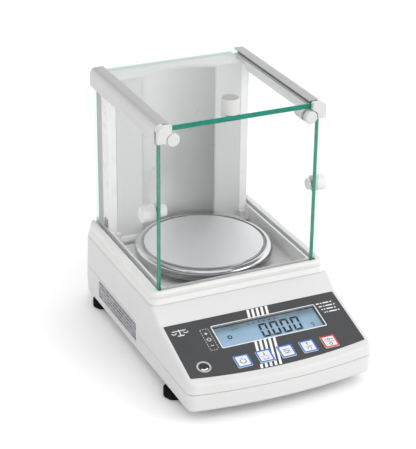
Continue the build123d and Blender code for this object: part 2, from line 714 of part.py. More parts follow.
def recess_liner():
    """Thin satin sheet that lines the niche."""
    sheet = niche_cutter(LEDGE_Z, COLUMN_TOP, 0.02) - niche_cutter(LEDGE_Z - 1, COLUMN_TOP + 1, 0.9)
    return largest(sheet & box(-41.3, 41.3, WALL_Y + 0.1, 200, 0, 300))


def column_cap():
    """Plate that closes the rear wall at the top, following the niche."""
    x0 = POST[0] - 0.1
    plate = box(-x0, x0, WALL_Y - 1.0, COLUMN_REAR, COLUMN_TOP, COLUMN_TOP + 2.4)
    plate += box(-RAIL_IN + 0.4, RAIL_IN - 0.4, COLUMN_REAR, COVER_REAR, COLUMN_TOP, COLUMN_TOP + 2.4)
    radius, centre = niche_points()
    return plate - (rod(0, centre, 200, 300, 2 * radius - 1.8) & box(-80, 80, 80, 200, 200, 300))


def rear_cover():
    """Grey shell behind the rear wall."""
    outer = POST[1]
    front = COLUMN_REAR + 0.1
    shell = box(-outer, outer, front, COVER_REAR, LEDGE_Z, COLUMN_TOP)
    corners = [e for e in shell.edges().filter_by(Axis.Z) if e.center().Y > COVER_REAR - 1]
    shell = fillet(corners, 4.0)
    shell -= box(-outer + 2.2, outer - 2.2, front - 1, COVER_REAR - 2.2, LEDGE_Z + 2.2, COLUMN_TOP - 2.2)
    for side in (-1, 1):
        low, high = sorted((side * (RAIL_IN - 0.3), side * (outer + 5)))
        shell -= box(low, high, front - 1, COVER_REAR + 1, RAIL_BOTTOM - 0.3, 300)
    return largest(shell)


# ---- weighing mechanism -------------------------------------------------------------------------
def pan():
    """Turned-down stainless dish: flat plate, groove, rolled shoulder and skirt."""
    low, t = -PAN_HEIGHT, PAN_SHEET
    outer = [Polyline((0, 0), (PAN_PLATE_R - 0.4, 0), (PAN_PLATE_R + 0.5, -1.3), (66.0, -1.5)),
             ThreePointArc((66.0, -1.5), (68.9, -2.7), (PAN_R, -5.6)),
             Polyline((PAN_R, -5.6), (PAN_R, low), (PAN_R - t, low), (PAN_R - t, -5.8)),
             ThreePointArc((PAN_R - t, -5.8), (68.0, -3.6), (65.8, -1.5 - t)),
             Polyline((65.8, -1.5 - t), (PAN_PLATE_R - 0.2, -1.3 - t), (PAN_PLATE_R - 1.1, -t), (0, -t),
                      (0, 0))]
    edges = [edge for piece in outer for edge in piece.edges()]
    section = Plane.XZ * make_face(Wire(edges))
    return Pos(0, PAN_Y, TABLE_Z) * revolve(section, Axis.Z)


def pan_support():
    """Round carrier under the pan with four arms and a hub."""
    z = SUPPORT_TOP
    body = rod(0, PAN_Y, z - 2.4, z, 40)
    for angle in ARM_ANGLES:
        arm = Rot(0, 0, angle) * box(0, 50, -5, 5, z - 2.4, z)
        body += Pos(0, PAN_Y, 0) * arm
    body += rod(0, PAN_Y, z - 7.0, z - 2.4, 15)
    return body - rod(0, PAN_Y, z - 8, z - 1.2, SHAFT_D)


def pan_pads():
    """Four rubber pads between carrier and pan."""
    parts = []
    for angle in ARM_ANGLES:
        pad = Rot(0, 0, angle) * Pos(44, 0, SUPPORT_TOP + 0.8) * Cylinder(4, 1.6)
        parts.append(Pos(0, PAN_Y, 0) * pad)
    return group(*parts)


def load_shaft():
    """Shaft from the cell's moving block up to the carrier."""
    return rod(0, PAN_Y, 52.0, SUPPORT_TOP - 1.2, SHAFT_D)


def cell_base():
    """Casting of the weighing cell: floor plate, rear pillar and sensor bridge."""
    base = box(-40, 40, 14, CELL_REAR, CELL_FLOOR, CELL_FLOOR + 6)
    base += box(-30, 30, CELL_REAR - 20, CELL_REAR, CELL_FLOOR + 6, 57)
    base -= box(-18, 18, CELL_REAR - 21, CELL_REAR - 8, 33, 51)
    for x in (-34, 34):
        for y in (20, CELL_REAR - 6):
            base += rod(x, y, CASE_BOTTOM + WALL, CELL_FLOOR, 9)
            base -= rod(x, y, 10, CELL_FLOOR + 7, 4.3)
    for side in (-1, 1):
        low, high = sorted((side * 5.3, side * 9.0))
        base += box(low, high, LEVER_Y - 3, LEVER_Y + 3, CELL_FLOOR + 6, LEVER_Z + 3)
    return base + rod_x(-9, 9, LEVER_Y, LEVER_Z, LEVER_PIN)


def cell_screws():
    """Four screws that hold the cell to the lower shell."""
    parts = []
    for x in (-34, 34):
        for y in (20, CELL_REAR - 6):
            head = rod(x, y, CELL_FLOOR + 6.05, CELL_FLOOR + 9.5, 7)
            head -= rod(x, y, CELL_FLOOR + 7.5, CELL_FLOOR + 10, 3)
            parts.append(head + rod(x, y, CASE_BOTTOM + WALL + 0.1, CELL_FLOOR + 6.1, 3.9))
    return group(*parts)


def cell_block():
    """Moving block between the two guides, which carries the load shaft."""
    block = box(-CELL_HALF, CELL_HALF, PAN_Y - 8, PAN_Y + 8, 31, 52)
    block -= box(-12, 12, PAN_Y - 9, PAN_Y + 9, 36, 46)
    return block


def guide(z):
    """Flat spring guide from the rear pillar to the moving block."""
    front, rear = PAN_Y + 8.5, CELL_REAR - 20.2
    points = [(-CELL_HALF, front), (CELL_HALF, front), (CELL_HALF, rear), (-CELL_HALF, rear)]
    plate = top_prism(points, z, z + 1.2)
    hole = top_prism([(-10, PAN_Y + 20), (10, PAN_Y + 20), (17, CELL_REAR - 30), (-17, CELL_REAR - 30)],
                     z - 1, z + 3)
    return plate - hole


def load_lever():
    """Lever that passes the load from the moving block to the sensor."""
    lever = box(-5, 5, PAN_Y + 8.5, CELL_REAR - 20.5, LEVER_Z - 3, LEVER_Z + 3)
    lever -= box(-2, 2, LEVER_Y + 4, CELL_REAR - 24, LEVER_Z - 4, LEVER_Z + 4)
    return lever - rod_x(-6, 6, LEVER_Y, LEVER_Z, LEVER_PIN + 0.1)


def fork_sensor():
    """Double tuning fork sensor standing in the pillar's window."""
    y0, y1 = CELL_REAR - 20, CELL_REAR - 12
    fork = box(-6, 6, y0, y1, 33, 50.9) - box(-1.0, 1.0, y0 - 1, y1 + 1, 36.5, 47.5)
    return fork - box(-3.6, -2.6, y0 - 1, y1 + 1, 38, 46) - box(2.6, 3.6, y0 - 1, y1 + 1, 38, 46)


# ---- build --------------------------------------------------------------------------------------
def both_sides(name, shape):
    """Left part and its mirror image."""
    return {f"left_{name}": shape, f"right_{name}": mirrored(shape)}


def all_parts():
    """Every sub-part by name."""
    parts = {"lower_case": lower_case(), "top_cover": top_cover(), "shield_tray": shield_tray(),
             "tray_screws": tray_screws(), "case_screws": case_screws(), "rating_plate": rating_plate()}
    for name, (x, y) in zip(FOOT_NAMES, FOOT_XY):
        parts[f"foot_{name}"] = foot_knob(x, y)
    parts["foot_inserts"] = foot_inserts()
    parts.update({"panel_overlay": panel_overlay(), "display_window": display_window(),
                  "display_module": display_module(), "key_board": key_board(),
                  "level_bezel": level_bezel(), "level_vial": level_vial()})
    for index in range(5):
        parts[f"key_{index + 1}"] = key(index)
    parts.update({"main_board": main_board(), "power_jack": power_jack(), "serial_port": serial_port(),
                  "port_board": port_board()})
    parts["front_pane"] = front_pane()
    parts.update(both_sides("door", side_door()))
    parts.update(both_sides("door_knob", side_knob()))
    parts["left_knob_disc"] = side_knob_disc(LEFT_DISC)
    parts["right_knob_disc"] = mirrored(side_knob_disc(RIGHT_DISC))
    parts.update({"top_door": top_door(), "top_door_knob": top_knob(), "top_knob_disc": top_knob_disc()})
    parts.update(both_sides("rail", side_rail()))
    for name, shape in (("rail_caps", rail_cap()), ("rear_posts", post()), ("pane_knobs", pane_knob()),
                        ("pane_brackets", pane_bracket()), ("post_feet", post_foot()),
                        ("door_guides", door_guide())):
        parts[name] = group(shape, mirrored(shape))
    parts.update({"rear_column": rear_column(), "recess_liner": recess_liner(), "column_cap": column_cap(),
                  "rear_cover": rear_cover()})
    parts.update({"pan": pan(), "pan_support": pan_support(), "pan_pads": pan_pads(),
                  "load_shaft": load_shaft(), "cell_base": cell_base(), "cell_screws": cell_screws(),
                  "cell_block": cell_block(), "upper_guide": guide(50.4), "lower_guide": guide(31.2),
                  "load_lever": load_lever(), "fork_sensor": fork_sensor()})
    return parts


os.makedirs("parts", exist_ok=True)
for part_name, part_shape in all_parts().items():
    save(part_name, part_shape)
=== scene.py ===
import bmesh
import bpy
import json
import math
from mathutils import Matrix, Vector


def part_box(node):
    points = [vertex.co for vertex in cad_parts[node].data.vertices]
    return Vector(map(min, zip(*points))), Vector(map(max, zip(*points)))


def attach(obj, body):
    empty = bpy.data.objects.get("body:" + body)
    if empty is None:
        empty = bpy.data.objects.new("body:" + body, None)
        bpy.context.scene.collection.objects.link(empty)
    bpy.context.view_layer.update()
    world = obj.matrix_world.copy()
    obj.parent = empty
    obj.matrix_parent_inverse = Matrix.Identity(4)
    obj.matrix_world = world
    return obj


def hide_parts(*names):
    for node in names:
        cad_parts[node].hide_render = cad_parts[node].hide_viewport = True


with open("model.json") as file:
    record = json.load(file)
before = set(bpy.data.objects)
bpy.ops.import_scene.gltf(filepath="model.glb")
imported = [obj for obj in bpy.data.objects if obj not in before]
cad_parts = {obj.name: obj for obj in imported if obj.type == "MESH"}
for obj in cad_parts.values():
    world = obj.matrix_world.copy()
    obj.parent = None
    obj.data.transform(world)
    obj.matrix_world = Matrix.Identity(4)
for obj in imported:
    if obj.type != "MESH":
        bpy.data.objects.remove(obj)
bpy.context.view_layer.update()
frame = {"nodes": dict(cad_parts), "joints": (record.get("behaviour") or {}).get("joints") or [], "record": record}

# Looks of a precision balance with a glass draught shield. Row frame, metres; MM turns millimetres
# into metres. X is to the right seen from the front, Y to the rear and Z up.

MM = 0.001
NODES = frame["nodes"]
SLOT_OF = {part["node"]: part["material_slot"] for part in frame["record"]["subparts"]}
BODY_OF = {node: body for body, nodes in frame["record"]["behaviour"]["bodies"].items() for node in nodes}


# ---- camera and light ---------------------------------------------------------------------------
CAMERA_PLACE = (-0.59085, -1.24098, 0.78201)
CAMERA_YAW, CAMERA_PITCH, CAMERA_ROLL = -24.881, 25.563, 0.659     # degrees
CAMERA_LENS = 124.45
CAMERA_SENSOR = 36
FLOOR_SIZE = 14.0
FLOOR_TONE, FLOOR_ROUGH = 0.93, 0.8
TENT_POWER = 1.62
# Tones of the tent by the height of the direction, 0 at the horizon and 1 overhead: the first for
# its light and the second for what mirrors show of it.
TENT_TONES = ((0.0, 0.80), (0.30, 0.80), (0.75, 0.78), (1.0, 0.75))
MIRROR_TONES = ((0.0, 0.7), (0.35, 0.85), (0.55, 0.9), (0.68, 0.12), (0.84, 0.10), (0.92, 0.75),
                (1.0, 0.8))
TENT_BRIGHT = (0.88, -0.42, 0.22)    # direction that the tent is brightest in
TENT_RANGE = (0.64, 1.24)            # gain on the side away from it and towards it
LAMP_PLACE, LAMP_TARGET = (1.9, -1.7, 2.1), (0, 0, 0.1)
LAMP_SIZE, LAMP_POWER = 1.4, 14


def linked(name, data):
    """New object in the scene."""
    made = bpy.data.objects.new(name, data)
    bpy.context.scene.collection.objects.link(made)
    return made


def make_camera():
    """Camera at the product view, looking down from the front left."""
    yaw, pitch, roll = (math.radians(a) for a in (CAMERA_YAW, CAMERA_PITCH, CAMERA_ROLL))
    back = Vector((math.sin(yaw) * math.cos(pitch), -math.cos(yaw) * math.cos(pitch), math.sin(pitch)))
    right = (-back).cross(Vector((0, 0, 1))).normalized()
    up = right.cross(-back)
    side = right * math.cos(roll) + up * math.sin(roll)
    top = up * math.cos(roll) - right * math.sin(roll)
    camera = linked("camera", bpy.data.cameras.new("camera"))
    camera.data.lens = CAMERA_LENS
    camera.data.sensor_width = CAMERA_SENSOR
    turned = Matrix((side, top, back)).transposed().to_4x4()
    camera.matrix_world = Matrix.Translation(CAMERA_PLACE) @ turned
    bpy.context.scene.camera = camera


def make_lamp():
    """Soft square lamp from the right front, above."""
    lamp = bpy.data.lights.new("key", "AREA")
    lamp.shape, lamp.size, lamp.size_y = "RECTANGLE", LAMP_SIZE, LAMP_SIZE
    lamp.energy = LAMP_POWER
    placed = linked("key", lamp)
    placed.location = LAMP_PLACE
    towards = Vector(LAMP_TARGET) - Vector(LAMP_PLACE)
    placed.rotation_euler = towards.to_track_quat("-Z", "Y").to_euler()


def height_ramp(tree, height, stops):
    """Grey tone by height."""
    ramp = add(tree, "ValToRGB", {0: height})
    fill_ramp(ramp, [(at, (tone, tone, tone, 1)) for at, tone in stops])
    return ramp.outputs[0]


def make_world():
    """Light tent, brightest from the right front, with dark bands that only mirrors show."""
    world = bpy.data.worlds.new("tent")
    bpy.context.scene.world = world
    world.use_nodes = True
    tree = world.node_tree
    direction = add(tree, "TexCoord").outputs["Generated"]
    height = add(tree, "SeparateXYZ", {0: direction}).outputs["Z"]
    share = remap(tree, dot(tree, direction, TENT_BRIGHT), -1.0, 1.0, *TENT_RANGE)
    lit = blend(tree, 1.0, height_ramp(tree, height, TENT_TONES), share, "MULTIPLY")
    shown = blend(tree, 1.0, height_ramp(tree, height, MIRROR_TONES), share, "MULTIPLY")
    mirrored = add(tree, "LightPath").outputs["Is Glossy Ray"]
    tone = blend(tree, mirrored, lit, shown)
    tree.nodes["Background"].inputs["Strength"].default_value = TENT_POWER
    tree.links.new(tone, tree.nodes["Background"].inputs["Color"])


# ---- node helpers -------------------------------------------------------------------------------
def add(tree, kind, values=None, **settings):
    """Adds a shader node; values maps its inputs to a number, a colour or another node's output."""
    made = tree.nodes.new("ShaderNode" + kind)
    for key, value in settings.items():
        setattr(made, key, value)
    for key, value in (values or {}).items():
        if isinstance(value, bpy.types.NodeSocket):
            tree.links.new(value, made.inputs[key])
        else:
            made.inputs[key].default_value = value
    return made


def fill_ramp(ramp, stops):
    """Sets a colour ramp's stops."""
    elements = ramp.color_ramp.elements
    elements[0].position, elements[0].color = stops[0]
    elements[1].position, elements[1].color = stops[-1]
    for at, colour in stops[1:-1]:
        elements.new(at).color = colour


def rgba(colour, gain=1.0):
    """Colour with alpha, made lighter or darker."""
    return (*(min(1.0, c * gain) for c in colour[:3]), 1.0)


def srgb(*levels):
    """Linear colour of 0-255 display levels."""
    return tuple(v / 255 / 12.92 if v <= 10 else ((v / 255 + 0.055) / 1.055) ** 2.4
                 for v in levels)


def place_of(tree):
    """Position on the piece, in metres."""
    return add(tree, "TexCoord").outputs["Object"]


def noise(tree, place, size, detail=2.0, rough=0.55, stretch=None):
    """Noise whose features are size metres across."""
    if stretch:
        place = add(tree, "Mapping", {"Vector": place, "Scale": stretch}).outputs[0]
    values = {"Vector": place, "Scale": 1 / size, "Detail": detail, "Roughness": rough}
    return add(tree, "TexNoise", values).outputs["Fac"]


def remap(tree, value, low, high, to_low, to_high):
    """Value range mapped to another, clamped."""
    values = {"Value": value, "From Min": low, "From Max": high, "To Min": to_low, "To Max": to_high}
    return add(tree, "MapRange", values).outputs[0]


def blend(tree, factor, first, second, mode="MIX"):
    """Mix of two colours."""
    values = {0: factor, 6: first, 7: second}
    return add(tree, "Mix", values, data_type="RGBA", blend_type=mode).outputs[2]


def maths(tree, operation, first, second=0.0):
    """Result of one Math node."""
    return add(tree, "Math", {0: first, 1: second}, operation=operation).outputs[0]


def dot(tree, first, second):
    """Dot product of two vectors."""
    return add(tree, "VectorMath", {0: first, 1: second}, operation="DOT_PRODUCT").outputs["Value"]


def edge_mask(tree, radius):
    """Near 1 within radius of a sharp edge, 0 on flat surface; also the rounded normal."""
    rounded = add(tree, "Bevel", {"Radius": radius}, samples=6).outputs[0]
    flat = add(tree, "NewGeometry").outputs["Normal"]
    return remap(tree, dot(tree, rounded, flat), 0.995, 0.75, 0.0, 1.0), rounded


def shader(name):
    """New node material with its tree and Principled node."""
    made = bpy.data.materials.new(name)
    made.use_nodes = True
    return made, made.node_tree, made.node_tree.nodes["Principled BSDF"]


# ---- kinds of material --------------------------------------------------------------------------
CLOUD_SIZE, SMEAR_SIZE, SPECK_SIZE = 45, 17, 1.1     # millimetres
BLOTCH = 0.03                # share that the tone wanders by
SPREAD = 0.07                # how far smears change the roughness
DUST = (0.45, 0.44, 0.42)
SCRATCH_GLOSS = 0.028        # roughness that a scratch adds to spun metal
DIM_END = 16                 # millimetres of the display that dim towards its right end
LABEL_ROW, LABEL_WORD = 3.7, 2.6     # pitch of the label's rows and length of its dashes, mm
LABEL_INK = 0.52             # share of a row's pitch that is inked
COAT_ROUGH = 0.12


def surface(name, colour, rough, metallic=0.0, grain=0.35, relief=0.012, edge=0.4, edge_gain=1.05,
            coat=0.0, specular=0.5, stretch=None, dust=0.04, facing_tone=None):
    """General finish: slow tone changes, fine grain, worn edges, faint dust and uneven gloss.

    grain, relief and edge are in millimetres. facing_tone is an axis, the range of the normal along it
    and the gain of the tone that faces take over that range: painted shade on the satin sheet and the knob, a
    darker top on the rails."""
    made, tree, bsdf = shader(name)
    place = place_of(tree)
    cloud = noise(tree, place, CLOUD_SIZE * MM, 3)
    tone = blend(tree, cloud, rgba(colour, 1 - BLOTCH), rgba(colour, 1 + BLOTCH))
    # faces turned along an axis take over another tone: painted shade on the satin sheet and the knob, a darker
    # top on the rails
    if facing_tone:
        axis, start, end, gain = facing_tone
        normal = add(tree, "NewGeometry").outputs["Normal"]
        facing = add(tree, "SeparateXYZ", {0: normal}).outputs[axis]
        tone = blend(tree, remap(tree, facing, start, end, 0.0, 1.0), tone, rgba(colour, gain))
    worn, rounded = edge_mask(tree, edge * MM)
    tone = blend(tree, maths(tree, "MULTIPLY", worn, 0.6), tone, rgba(colour, edge_gain))
    specks = remap(tree, noise(tree, place, SPECK_SIZE * MM, 4, 0.7), 0.62, 0.72, 0.0, dust)
    tone = blend(tree, specks, tone, rgba(DUST))
    smear = noise(tree, place, SMEAR_SIZE * MM, 5, 0.65)
    fine = noise(tree, place, grain * MM, 3, 0.6, stretch)
    gloss = maths(tree, "ADD", remap(tree, smear, 0.3, 0.7, rough - SPREAD, rough + SPREAD),
                  remap(tree, fine, 0.3, 0.7, -0.03, 0.03))
    gloss = maths(tree, "ADD", gloss, maths(tree, "MULTIPLY", worn, -0.06))
    bump = add(tree, "Bump", {"Height": fine, "Distance": relief * MM, "Strength": 0.9,
                              "Normal": rounded})
    tree.links.new(tone, bsdf.inputs["Base Color"])
    tree.links.new(gloss, bsdf.inputs["Roughness"])
    tree.links.new(bump.outputs[0], bsdf.inputs["Normal"])
    bsdf.inputs["Metallic"].default_value = metallic
    bsdf.inputs["Coat Weight"].default_value = coat
    bsdf.inputs["Coat Roughness"].default_value = COAT_ROUGH
    bsdf.inputs["Specular IOR Level"].default_value = specular
    return made


def pane_material(name, tint, rough=0.02, film=0.02):
    """Clear sheet: what is behind shows unbent, with a mirror image by Fresnel and a faint film."""
    made, tree, bsdf = shader(name)
    tree.nodes.remove(bsdf)
    place = place_of(tree)
    smear = remap(tree, noise(tree, place, 60 * MM, 5, 0.6), 0.45, 0.75, 0.0, film)
    clear = add(tree, "BsdfTransparent", {"Color": rgba(tint)}).outputs[0]
    gloss = add(tree, "BsdfGlossy", {"Color": (1, 1, 1, 1), "Roughness": rough}).outputs[0]
    haze = add(tree, "BsdfDiffuse", {"Color": (0.9, 0.93, 0.92, 1)}).outputs[0]
    outside = maths(tree, "SUBTRACT", 1.0, add(tree, "NewGeometry").outputs["Backfacing"])
    mirror = maths(tree, "MULTIPLY", add(tree, "Fresnel", {"IOR": 1.6}).outputs[0], outside)
    sheet = add(tree, "MixShader", {0: mirror, 1: clear, 2: gloss}).outputs[0]
    sheet = add(tree, "MixShader", {0: smear, 1: sheet, 2: haze}).outputs[0]
    tree.links.new(sheet, tree.nodes["Material Output"].inputs["Surface"])
    return made


def glass_edge_material(name):
    """Ground edge of float glass: streaked deep teal outside with a faint painted glow, clear from inside the
    sheet.
    """
    made, tree, bsdf = shader(name)
    place = place_of(tree)
    streak = noise(tree, place, 9 * MM, 4, 0.6)
    fine = noise(tree, place, 0.5 * MM, 3, 0.6)
    tone = blend(tree, streak, rgba(srgb(0, 84, 66)), rgba(srgb(18, 140, 116)))
    tree.links.new(tone, bsdf.inputs["Base Color"])
    tree.links.new(remap(tree, fine, 0.3, 0.7, 0.18, 0.34), bsdf.inputs["Roughness"])
    bump = add(tree, "Bump", {"Height": fine, "Distance": 0.01 * MM, "Strength": 0.8})
    tree.links.new(bump.outputs[0], bsdf.inputs["Normal"])
    # painted glow: the edge emits its own teal tone faintly
    tree.links.new(tone, bsdf.inputs["Emission Color"])
    bsdf.inputs["Emission Strength"].default_value = 0.2
    bsdf.inputs["Specular IOR Level"].default_value = 0.25
    inside = add(tree, "NewGeometry").outputs["Backfacing"]
    clear = add(tree, "BsdfTransparent", {"Color": rgba(srgb(214, 238, 230))}).outputs[0]
    mixed = add(tree, "MixShader", {0: inside, 1: bsdf.outputs[0], 2: clear}).outputs[0]
    tree.links.new(mixed, tree.nodes["Material Output"].inputs["Surface"])
    return made


def display_material(name):
    """Lit liquid crystal: pale blue, with painted shadow of the bezel under the window's top edge, and dimmer at
    its right end.
    """
    made, tree, bsdf = shader(name)
    place = place_of(tree)
    start = PANEL_ORIGIN.dot(DOWN)
    fall = remap(tree, dot(tree, place, tuple(DOWN)), start + WINDOW_S[0] * MM,
                 start + WINDOW_S[1] * MM, 0.0, 1.0)
    # the ramp's dark top stops are painted shadow of the bezel under the window's top edge
    ramp = add(tree, "ValToRGB", {0: fall})
    fill_ramp(ramp, [(0.0, rgba(srgb(74, 88, 100))), (0.16, rgba(srgb(96, 118, 134))),
                     (0.42, rgba(srgb(134, 164, 185))), (1.0, rgba(srgb(150, 176, 198)))])
    across = add(tree, "SeparateXYZ", {0: place}).outputs["X"]
    end = remap(tree, across, (WINDOW_X[1] - DIM_END) * MM, WINDOW_X[1] * MM, 0.0, 0.45)
    tone = blend(tree, end, ramp.outputs[0], rgba(srgb(112, 138, 158)))
    cloud = noise(tree, place, 12 * MM, 3)
    tone = blend(tree, remap(tree, cloud, 0.3, 0.7, 0.0, 0.12), tone, rgba(srgb(190, 212, 230)))
    tree.links.new(tone, bsdf.inputs["Base Color"])
    tree.links.new(tone, bsdf.inputs["Emission Color"])
    bsdf.inputs["Emission Strength"].default_value = 0.1
    bsdf.inputs["Roughness"].default_value = 0.3
    return made


def label_material(name):
    """Printed foil: rows of dark word-like dashes on grey."""
    made, tree, bsdf = shader(name)
    place = place_of(tree)
    parts = add(tree, "SeparateXYZ", {0: place}).outputs
    row = maths(tree, "DIVIDE", parts["Z"], LABEL_ROW * MM)
    number = maths(tree, "FLOOR", row)
    inside = maths(tree, "LESS_THAN", maths(tree, "FRACT", row), LABEL_INK)
    spot = add(tree, "CombineXYZ", {"X": parts["Y"], "Y": number}).outputs[0]
    scale = (1 / (LABEL_WORD * MM), 7.3, 0)      # 7.3 sets the rows' patterns apart
    spot = add(tree, "VectorMath", {0: spot, 1: scale}, operation="MULTIPLY").outputs[0]
    word = add(tree, "TexNoise", {"Vector": spot, "Scale": 1.0, "Detail": 2.0}).outputs["Fac"]
    words = maths(tree, "GREATER_THAN", word, 0.47)
    ink = maths(tree, "MULTIPLY", maths(tree, "MULTIPLY", inside, words), 0.9)
    paper = blend(tree, noise(tree, place, 20 * MM, 3), rgba(srgb(150, 149, 157)),
                  rgba(srgb(166, 164, 172)))
    tree.links.new(blend(tree, ink, paper, rgba(srgb(18, 17, 24))), bsdf.inputs["Base Color"])
    gloss = remap(tree, noise(tree, place, 5 * MM, 4), 0.3, 0.7, 0.36, 0.5)
    tree.links.new(gloss, bsdf.inputs["Roughness"])
    return made


def spun_material(name, colour, rough, ring, relief):
    """Metal turned on a lathe: fine rings about the pan's centre and faint scratches.

    ring and relief are in millimetres."""
    made, tree, bsdf = shader(name)
    place = place_of(tree)
    around = add(tree, "VectorMath", {0: place, 1: tuple(PAN_CENTRE)},
                 operation="SUBTRACT").outputs[0]
    radius = add(tree, "VectorMath", {0: around}, operation="LENGTH").outputs["Value"]
    spot = add(tree, "CombineXYZ", {"X": radius}).outputs[0]
    values = {"Vector": spot, "Scale": 1 / (ring * MM), "Detail": 4.0}
    rings = add(tree, "TexNoise", values).outputs["Fac"]
    cloud = noise(tree, place, 30 * MM, 4)
    scratch = noise(tree, place, 2.2 * MM, 6, 0.75, (1.0, 14.0, 1.0))
    tone = blend(tree, cloud, rgba(colour, 0.96), rgba(colour, 1.04))
    tone = blend(tree, remap(tree, rings, 0.35, 0.65, 0.0, 0.3), tone, rgba(colour, 0.93))
    tree.links.new(tone, bsdf.inputs["Base Color"])
    gloss = maths(tree, "ADD", remap(tree, rings, 0.3, 0.7, rough * 0.8, rough * 1.25),
                  remap(tree, scratch, 0.55, 0.8, 0.0, SCRATCH_GLOSS))
    tree.links.new(gloss, bsdf.inputs["Roughness"])
    bump = add(tree, "Bump", {"Height": rings, "Distance": relief * MM, "Strength": 1.0})
    tree.links.new(bump.outputs[0], bsdf.inputs["Normal"])
    bsdf.inputs["Metallic"].default_value = 1.0
    return made


# ---- mesh helpers -------------------------------------------------------------------------------
SPIN_STEPS = 256


def lathe(name, profile, centre, materials, body, bands):
    """Turned piece: profile is (radius, height) from the axis outwards, bands the material of
    each step."""
    verts, faces, indices = [], [], []
    for radius, height in profile:
        for k in range(SPIN_STEPS):
            turn = 2 * math.pi * k / SPIN_STEPS
            out = Vector((radius * math.cos(turn), radius * math.sin(turn), height))
            verts.append(tuple(centre + out))
    for row in range(len(profile) - 1):
        for k in range(SPIN_STEPS):
            after = (k + 1) % SPIN_STEPS
            low, high = row * SPIN_STEPS, (row + 1) * SPIN_STEPS
            faces.append((low + k, high + k, high + after, low + after))
            indices.append(bands[row])
    mesh = bpy.data.meshes.new(name)
    mesh.from_pydata(verts, [], faces)
    mesh.validate()
    for made in materials:
        mesh.materials.append(made)
    mesh.polygons.foreach_set("material_index", indices)
    mesh.polygons.foreach_set("use_smooth", [True] * len(mesh.polygons))
    piece = linked(name, mesh)
    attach(piece, body)
    weld = bmesh.new()
    weld.from_mesh(mesh)
    bmesh.ops.remove_doubles(weld, verts=weld.verts, dist=1e-7)
    bmesh.ops.recalc_face_normals(weld, faces=weld.faces)
    weld.to_mesh(mesh)
    weld.free()
    return piece


def arc_points(centre, radius, start, end, count):
    """Points of an arc in a profile; angles in degrees."""
    turns = [math.radians(start + (end - start) * k / count) for k in range(count + 1)]
    return [(centre[0] + radius * math.cos(t), centre[1] + radius * math.sin(t)) for t in turns]


def copy_of(node, name, materials, pick):
    """Piece with a CAD node's shape whose faces take the material that pick gives for a normal."""
    mesh = NODES[node].data.copy()
    mesh.name = name
    mesh.materials.clear()
    for made in materials:
        mesh.materials.append(made)
    for face in mesh.polygons:
        face.material_index = pick(face.normal)
    piece = linked(name, mesh)
    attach(piece, BODY_OF[node])
    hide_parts(node)


# ---- control slope ------------------------------------------------------------------------------
# Prints are placed in millimetres: x across, s down the slope from just above the sheet's top edge.
PRESS = Vector(next(j for j in frame["joints"] if j["name"] == "key_1_press")["axis"]).normalized()
NORMAL = -PRESS
ACROSS = Vector((1, 0, 0))
ALONG = ACROSS.cross(PRESS)
DOWN = ALONG * -1 if ALONG.y > 0 else ALONG
SHEET_TOP = max(v.co.dot(NORMAL) for v in NODES["panel_overlay"].data.vertices)
SHEET_EDGE = min(v.co.dot(DOWN) for v in NODES["panel_overlay"].data.vertices)
SHEET_MARGIN = 0.4
PANEL_ORIGIN = NORMAL * SHEET_TOP + DOWN * (SHEET_EDGE - SHEET_MARGIN * MM)
WINDOW_X, WINDOW_S = (-46.0, 63.5), (12.55, 40.85)
KEY_COUNT, KEY_START, KEY_PITCH = 5, -35.0, 22.9
KEY_X = [KEY_START + KEY_PITCH * k for k in range(KEY_COUNT)]
KEY_S, KEY_SIZE = 62.0, 15.2
LEVEL_X, LEVEL_S = -73.4, 58.4


def on_panel(x, s, height=0.0):
    """Point on the control slope, from millimetres across, down the slope and above the sheet."""
    return PANEL_ORIGIN + (ACROSS * x + DOWN * s + NORMAL * height) * MM


def printed(name, shapes, height, made, body="case", thick=0.03):
    """Thin printed layer on the control slope made of (x, s) outlines."""
    sheet = bmesh.new()
    for outline in shapes:
        low = [sheet.verts.new(on_panel(x, s, height)) for x, s in outline]
        high = [sheet.verts.new(on_panel(x, s, height + thick)) for x, s in outline]
        count = len(outline)
        sheet.faces.new(high)
        sheet.faces.new(low[::-1])
        for k in range(count):
            sheet.faces.new((low[k], low[(k + 1) % count], high[(k + 1) % count], high[k]))
    bmesh.ops.recalc_face_normals(sheet, faces=sheet.faces)
    mesh = bpy.data.meshes.new(name)
    sheet.to_mesh(mesh)
    sheet.free()
    mesh.materials.append(made)
    piece = linked(name, mesh)
    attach(piece, body)


def rect(x0, s0, x1, s1):
    """Upright rectangle."""
    return [(x0, s0), (x0, s1), (x1, s1), (x1, s0)]


def stroke(x0, s0, x1, s1, width):
    """Straight bar between two points."""
    along = Vector((x1 - x0, s1 - s0)).normalized() * width / 2
    side = Vector((-along.y, along.x))
    corners = ((x0, s0, -1), (x1, s1, -1), (x1, s1, 1), (x0, s0, 1))
    return [(x + side.x * turn, s + side.y * turn) for x, s, turn in corners]


def arc_band(x, s, radius, start, end, width, count=20):
    """Quads of a round line; angles in degrees."""
    inner, outer = radius - width / 2, radius + width / 2
    turns = [math.radians(start + (end - start) * k / count) for k in range(count + 1)]
    rim = [(math.cos(t), math.sin(t)) for t in turns]
    return [[(x + a[0] * inner, s + a[1] * inner), (x + a[0] * outer, s + a[1] * outer),
             (x + b[0] * outer, s + b[1] * outer), (x + b[0] * inner, s + b[1] * inner)]
            for a, b in zip(rim, rim[1:])]


def round_frame(x, s, width, height, radius, line, steps=6):
    """Quads of a rounded rectangular outline whose outer edge is width by height."""
    outer, inner = [], []
    for corner, (cx, cs) in enumerate(((1, 1), (-1, 1), (-1, -1), (1, -1))):
        for k in range(steps + 1):
            turn = math.radians(90 * corner + 90 * k / steps)
            mid = (x + cx * (width / 2 - radius), s + cs * (height / 2 - radius))
            for loop, reach in ((outer, radius), (inner, radius - line)):
                loop.append((mid[0] + math.cos(turn) * reach, mid[1] + math.sin(turn) * reach))
    count = len(outer)
    return [[inner[k], outer[k], outer[(k + 1) % count], inner[(k + 1) % count]] for k in range(count)]


